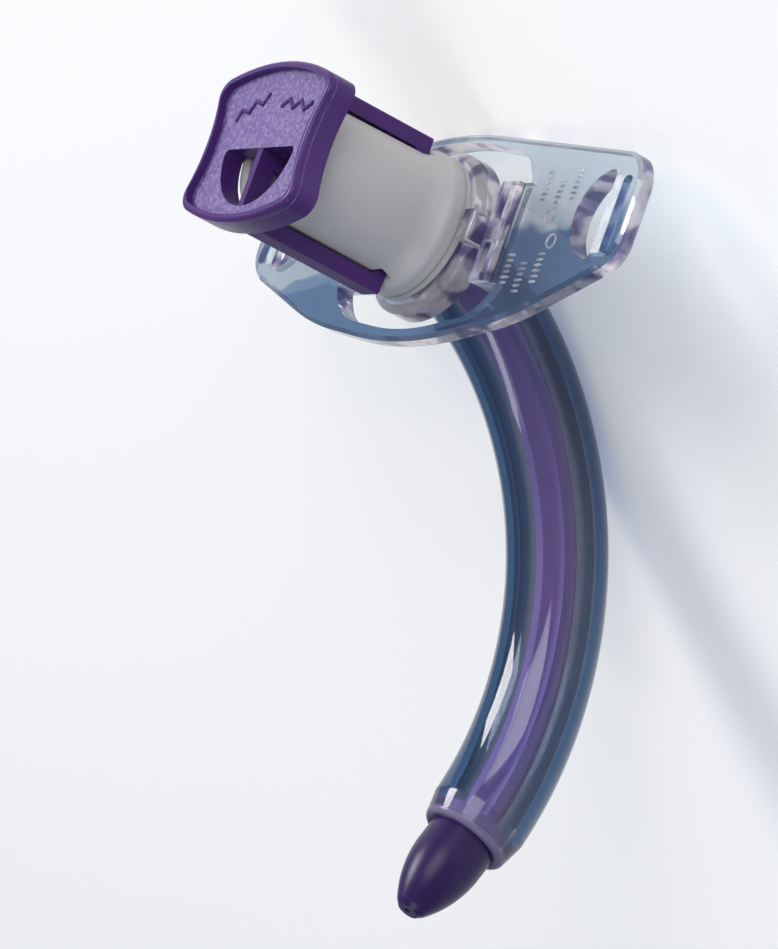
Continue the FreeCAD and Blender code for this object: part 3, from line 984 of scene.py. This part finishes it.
@dataclass(frozen=True)
class CurvedTube:
    """The clear tube, whose wall follows the two bends of its centre line.

    The wall is a bent grid. Its first direction runs round the tube, and its second down the
    outside to the lower end and back up the bore, with its rows closer together at the end.
    """

    sizes: TubeSizes
    wearer: WearerFrame
    material: bpy.types.Material
    points_round: int = 97
    points_along: int = 401
    crowding: float = 1.7
    first_row: float = 0.0001
    last_outer_row: float = 0.4999
    weld: float = 0.002

    def wall(self, shape: ShapeTree) -> Socket:
        """Bends the grid into the tube's wall.

        Args:
            shape: The tree, with its sizes.

        Returns:
            The wall.
        """
        size = shape.size
        x, y = shape.place()
        round_angle = (x + 0.5) * math.tau
        along = y + 0.5
        outside = along.between(self.first_row, self.last_outer_row)
        share = (along * 2.0 - 1.0).absolute().power(self.crowding).reversed_from(1.0)
        lead = size["Lead Angle"] * (math.pi / 180.0)
        lead_run = size["Lead Radius"] * lead
        whole_run = lead_run + size["Long Radius"] * (size["Long Angle"] * (math.pi / 180.0))
        run = share * whole_run
        taper = ((run - whole_run) / size["Taper Length"] + 1.0).at_least(0.0).at_most(1.0)
        outer = blended(size["Diameter"] * 0.5, size["End Diameter"] * 0.5, taper)
        rounding = size["End Rounding"]
        edge = (run - whole_run + rounding).at_least(0.0)
        drop = rounding - (rounding.power(2.0) - edge.power(2.0)).at_least(0.0).root()
        radius = blended(size["Bore"] * 0.5, outer - drop, outside)
        in_long = run.over(lead_run)
        angle = blended(run / size["Lead Radius"], lead + (run - lead_run) / size["Long Radius"], in_long)
        bend = blended(size["Lead Radius"], size["Long Radius"], in_long)
        step = (size["Long Radius"] - size["Lead Radius"]) * in_long
        centre_head = (size["Lead Radius"] + step * lead.cosine()) * -1.0
        centre_out = size["Top"] + step * lead.sine()
        reach = bend + radius * round_angle.cosine()
        head = centre_head + reach * angle.cosine()
        spot = shape.vector(radius * round_angle.sine(), head, centre_out - reach * angle.sine())
        grid = shape.add("MeshGrid", {"Vertices X": self.points_round, "Vertices Y": self.points_along})
        move = shape.add("SetPosition", {"Geometry": grid.outputs["Mesh"], "Position": spot})
        return shape.add("MergeByDistance", {"Geometry": move.outputs[0], "Distance": self.weld}).outputs[0]

    def build(self) -> bpy.types.Object:
        """Makes the tube in place of its plain solid.

        Returns:
            The tube.
        """
        shape = ShapeTree("Bent_Tube_Wall", self.sizes)
        tube = shape.made("clear_tube_wall", self.wall(shape), self.material, self.wearer)
        outward_mesh(tube)
        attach(tube, Body.TUBE.value)
        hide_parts("outer_tube")
        LOG.info("curved tube: %d faces", len(tube.data.polygons))
        return tube


@dataclass(frozen=True)
class WingMarks:
    """Raised strokes in columns and a ring on the near wing's front, plain and without meaning."""

    name: str
    sizes: StrokeSizes
    wearer: WearerFrame
    material: bpy.types.Material
    columns: int = 3
    rows: int = 6
    shortest: float = 0.72
    seed: int = 7
    stroke_fineness: int = 3
    ring_points: int = 40

    def strokes(self, shape: ShapeTree) -> Socket:
        """Sets rounded strokes of slightly different lengths in columns.

        Args:
            shape: The tree, with its sizes.

        Returns:
            The strokes.
        """
        size = shape.size
        last_column, last_row = self.columns - 1.0, self.rows - 1.0
        x, y = shape.place()
        column = x + last_column / 2.0
        row = y + last_row / 2.0
        wave = (column * (math.pi / 2.0)).sine() * size["Column Wave"]
        spot = shape.vector(
            size["First X"] + column * size["Column Pitch"],
            size["First Y"] - wave - row * size["Pitch"],
            size["Front"],
        )
        grid = shape.add("MeshGrid", {
            "Size X": last_column, "Size Y": last_row,
            "Vertices X": self.columns, "Vertices Y": self.rows,
        })
        move = shape.add("SetPosition", {"Geometry": grid.outputs["Mesh"], "Position": spot})
        limits = {"Min": self.shortest, "Max": 1.0, "Seed": self.seed}
        vary = added(shape.tree, "FunctionNodeRandomValue", limits, data_type="FLOAT")
        random = Term(shape.tree, next(out for out in vary.outputs if out.type == "VALUE" and out.enabled))
        scale = shape.vector(size["Length"] * random, size["Width"], size["Height"] * 2.0)
        ball = shape.add("MeshIcoSphere", {"Radius": 0.5, "Subdivisions": self.stroke_fineness})
        inputs = {"Points": move.outputs[0], "Instance": ball.outputs["Mesh"], "Scale": scale}
        return shape.add("InstanceOnPoints", inputs).outputs[0]

    def ring(self, shape: ShapeTree) -> Socket:
        """Lays the ring on the wing.

        Args:
            shape: The tree, with its sizes.

        Returns:
            The ring.
        """
        size = shape.size
        inputs = {"Resolution": self.ring_points, "Radius": size["Ring Radius"]}
        circle = shape.add("CurvePrimitiveCircle", inputs)
        ring = shape.strand(circle.outputs[0], size["Ring Width"], capped=False)
        spot = shape.vector(size["Ring X"], size["Ring Y"], size["Front"])
        return shape.add("Transform", {"Geometry": ring, "Translation": spot}).outputs[0]

    def build(self) -> bpy.types.Object:
        """Makes the strokes and the ring.

        Returns:
            The marks.
        """
        shape = ShapeTree("Raised_Strokes", self.sizes)
        both = shape.add("JoinGeometry", {0: self.strokes(shape)})
        feed(shape.tree, both.inputs[0], self.ring(shape))
        marks = shape.made(self.name, both.outputs[0], self.material, self.wearer)
        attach(marks, Body.FLANGE.value)
        LOG.info("%s: %d faces", self.name, len(marks.data.polygons))
        return marks


@dataclass(frozen=True)
class PlateMarks:
    """Raised zigzags on the head plate's textured floor, plain and without meaning."""

    sizes: ZigzagSizes
    wearer: WearerFrame
    material: bpy.types.Material
    strokes: int = 5
    turn: float = 0.14
    lean: float = 0.26

    def zigzags(self, shape: ShapeTree) -> Socket:
        """Bends a line into a zigzag and sets one on each side.

        Args:
            shape: The tree, with its sizes.

        Returns:
            Both zigzags.
        """
        size = shape.size
        line = shape.add("MeshLine", {"Count": self.strokes + 1, "Offset": (1.0, 0.0, 0.0)})
        x, _ = shape.place()
        step = x - self.strokes / 2.0
        swing = (step * math.pi).sine() * size["Depth"] * 0.5
        spot = shape.vector(step * size["Pitch"], swing, 0.0)
        bend = shape.add("SetPosition", {"Geometry": line.outputs["Mesh"], "Position": spot})
        curve = shape.add("MeshToCurve", {"Mesh": bend.outputs[0]})
        body = shape.strand(curve.outputs[0], size["Width"], capped=True)
        both = shape.add("JoinGeometry", {})
        for side in Side:
            turn = (0.0, 0.0, self.turn - side.value * self.lean)
            where = shape.vector(size["Spread"] * side.value, size["Head"], size["Floor"])
            one = shape.add("Transform", {"Geometry": body, "Rotation": turn, "Translation": where})
            feed(shape.tree, both.inputs[0], one.outputs[0])
        return both.outputs[0]

    def build(self) -> bpy.types.Object:
        """Makes both zigzags.

        Returns:
            The marks.
        """
        shape = ShapeTree("Raised_Zigzags", self.sizes)
        marks = shape.made("plate_marks", self.zigzags(shape), self.material, self.wearer)
        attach(marks, Body.TUBE.value)
        LOG.info("head plate marks: %d faces", len(marks.data.polygons))
        return marks


@dataclass(frozen=True)
class NodeDressing:
    """A solid that keeps its own shape and gets a finish."""

    node: str
    material: bpy.types.Material

    def build(self) -> bpy.types.Object:
        """Puts the finish on every slot of the solid.

        Returns:
            The solid.
        """
        solid = frame["nodes"][self.node]
        for slot in solid.material_slots:
            slot.material = self.material
        LOG.info("%s: finish %s", self.node, self.material.name)
        return solid


def outward_mesh(piece: bpy.types.Object) -> None:
    """Turns a closed piece's faces outwards if its volume comes out negative.

    Args:
        piece: The piece.
    """
    mesh = piece.data
    volume = 0.0
    for face in mesh.polygons:
        corners = [mesh.vertices[index].co for index in face.vertices]
        for second, third in zip(corners[1:], corners[2:]):
            volume += corners[0].dot(second.cross(third)) / 6.0
    if volume < 0.0:
        mesh.flip_normals()


@dataclass(frozen=True)
class Lamp:
    """A rectangular lamp that faces the tube, with its sizes in metres and its power in watts."""

    name: str
    towards: Triple
    distance: float
    size: tuple[float, float]
    power: float
    colour: Colour

    def build(self, centre: Triple) -> None:
        """Makes the lamp.

        Args:
            centre: The point that it faces.
        """
        data = bpy.data.lights.new(self.name, "AREA")
        data.shape = "RECTANGLE"
        data.size, data.size_y = self.size
        data.energy = self.power
        data.color = self.colour
        lamp = bpy.data.objects.new(self.name, data)
        bpy.context.scene.collection.objects.link(lamp)
        towards = Vector(self.towards)
        lamp.location = Vector(centre) + towards.normalized() * self.distance
        lamp.rotation_mode = "QUATERNION"
        lamp.rotation_quaternion = (-towards).to_track_quat("-Z", "Y")


@dataclass(frozen=True)
class Studio:
    """Pale floor, soft lamps, world and the camera at the photograph's view.

    The camera's place and directions are in the wearer's frame, and the floor and lamps in the row
    frame.
    """

    wearer: WearerFrame
    focal_pixels: float = 6999.8
    picture_height: int = 949
    camera_place: Triple = (666.694, -197.792, 405.676)
    camera_forward: Triple = (-0.831093, 0.212123, -0.514090)
    camera_up: Triple = (-0.006887, 0.920404, 0.390909)
    floor_half: float = 6.0
    floor_colour: Colour = (0.83, 0.81, 0.785)
    floor_glow: float = 0.12
    floor_roughness: float = 0.9
    floor_gloss: float = 0.1
    world_colour: Colour = (0.72, 0.83, 1.0)
    world_strength: float = 0.42
    lamp_centre: Triple = (0.0, 0.0, 0.02)
    lamps: tuple[Lamp, ...] = (
        Lamp("key", (0.74, 0.48, 0.47), 0.9, (0.34, 0.34), 6.2, (1.0, 0.98, 0.95)),
        Lamp("fill", (0.68, -0.62, 0.38), 1.0, (0.6, 0.5), 4.6, (0.98, 0.98, 1.0)),
        Lamp("strip", (-0.35, -0.35, 0.87), 0.8, (0.11, 0.5), 1.1, (1.0, 1.0, 1.0)),
    )

    def camera(self) -> bpy.types.Object:
        """Makes the camera.

        Returns:
            The scene's camera.
        """
        data = bpy.data.cameras.new("photograph_view")
        data.sensor_fit = "AUTO"
        data.sensor_width = 36.0
        data.lens = self.focal_pixels * data.sensor_width / self.picture_height
        data.clip_start = 0.05
        data.clip_end = 20.0
        camera = bpy.data.objects.new("photograph_view", data)
        bpy.context.scene.collection.objects.link(camera)
        forward = self.wearer.direction(*self.camera_forward)
        right = forward.cross(self.wearer.direction(*self.camera_up)).normalized()
        up = right.cross(forward)
        turn = Matrix((right, up, -forward)).transposed().to_4x4()
        camera.matrix_world = Matrix.Translation(self.wearer.point(*self.camera_place)) @ turn
        bpy.context.scene.camera = camera
        return camera

    def floor(self, groups: SurfaceGroups) -> bpy.types.Object:
        """Makes the floor that the tube lies on, a little brighter where it is seen than lit.

        Args:
            groups: The shared node groups.

        Returns:
            The floor.
        """
        mesh = bpy.data.meshes.new("floor")
        half = self.floor_half
        corners = [(-half, -half, 0), (half, -half, 0), (half, half, 0), (-half, half, 0)]
        mesh.from_pydata(corners, [], [(0, 1, 2, 3)])
        floor = bpy.data.objects.new("floor", mesh)
        bpy.context.scene.collection.objects.link(floor)
        finish = Finish("pale_floor", groups)
        path = finish.add("LightPath", {})
        rays = ("Is Camera Ray", "Is Transmission Ray", "Is Glossy Ray")
        camera_ray, through_ray, glossy_ray = (Term(finish.tree, path.outputs[ray]) for ray in rays)
        seen = (camera_ray + through_ray + glossy_ray).at_most(1.0)
        finish.give("Base Color", (*self.floor_colour, 1.0))
        finish.give("Roughness", self.floor_roughness)
        finish.give("Specular IOR Level", self.floor_gloss)
        finish.give("Emission Color", (1.0, 1.0, 1.0, 1.0))
        finish.give("Emission Strength", seen * self.floor_glow)
        mesh.materials.append(finish.material)
        return floor

    def world(self) -> None:
        """Makes the plain pale surroundings."""
        world = bpy.data.worlds.new("surroundings")
        bpy.context.scene.world = world
        world.use_nodes = True
        background = world.node_tree.nodes["Background"]
        background.inputs["Color"].default_value = (*self.world_colour, 1.0)
        background.inputs["Strength"].default_value = self.world_strength

    def build(self, groups: SurfaceGroups) -> None:
        """Makes the whole studio.

        Args:
            groups: The shared node groups.
        """
        self.floor(groups)
        self.world()
        for lamp in self.lamps:
            lamp.build(self.lamp_centre)
        self.camera()
        bpy.context.scene.view_settings.view_transform = "Standard"


def main() -> None:
    """Builds every piece in order."""
    logging.basicConfig(level=logging.INFO, format="%(name)s: %(message)s")
    wearer = WearerFrame.from_record(frame["record"], CONE_ROOT)
    groups = SurfaceGroups()
    tube = TubeSizes()
    hard_clear = MouldingPlastic(wearer, FlangeSizes()).make(groups)
    purple = ObturatorPlastic(PlateSizes(), tube, wearer).make(groups)
    CurvedTube(tube, wearer, TubePlastic(tube, wearer).make(groups)).build()
    NodeDressing("hub", hard_clear).build()
    NodeDressing("neck_flange", hard_clear).build()
    WingMarks("wing_marks", StrokeSizes(), wearer, MarkPlastic().make(groups)).build()
    WingMarks("upper_wing_marks", StrokeSizes.upper(), wearer, hard_clear).build()
    NodeDressing("connector", ConePlastic().make(groups)).build()
    NodeDressing("obturator", purple).build()
    PlateMarks(ZigzagSizes(), wearer, purple).build()
    Studio(wearer).build(groups)


if __name__ == "__main__":
    main()
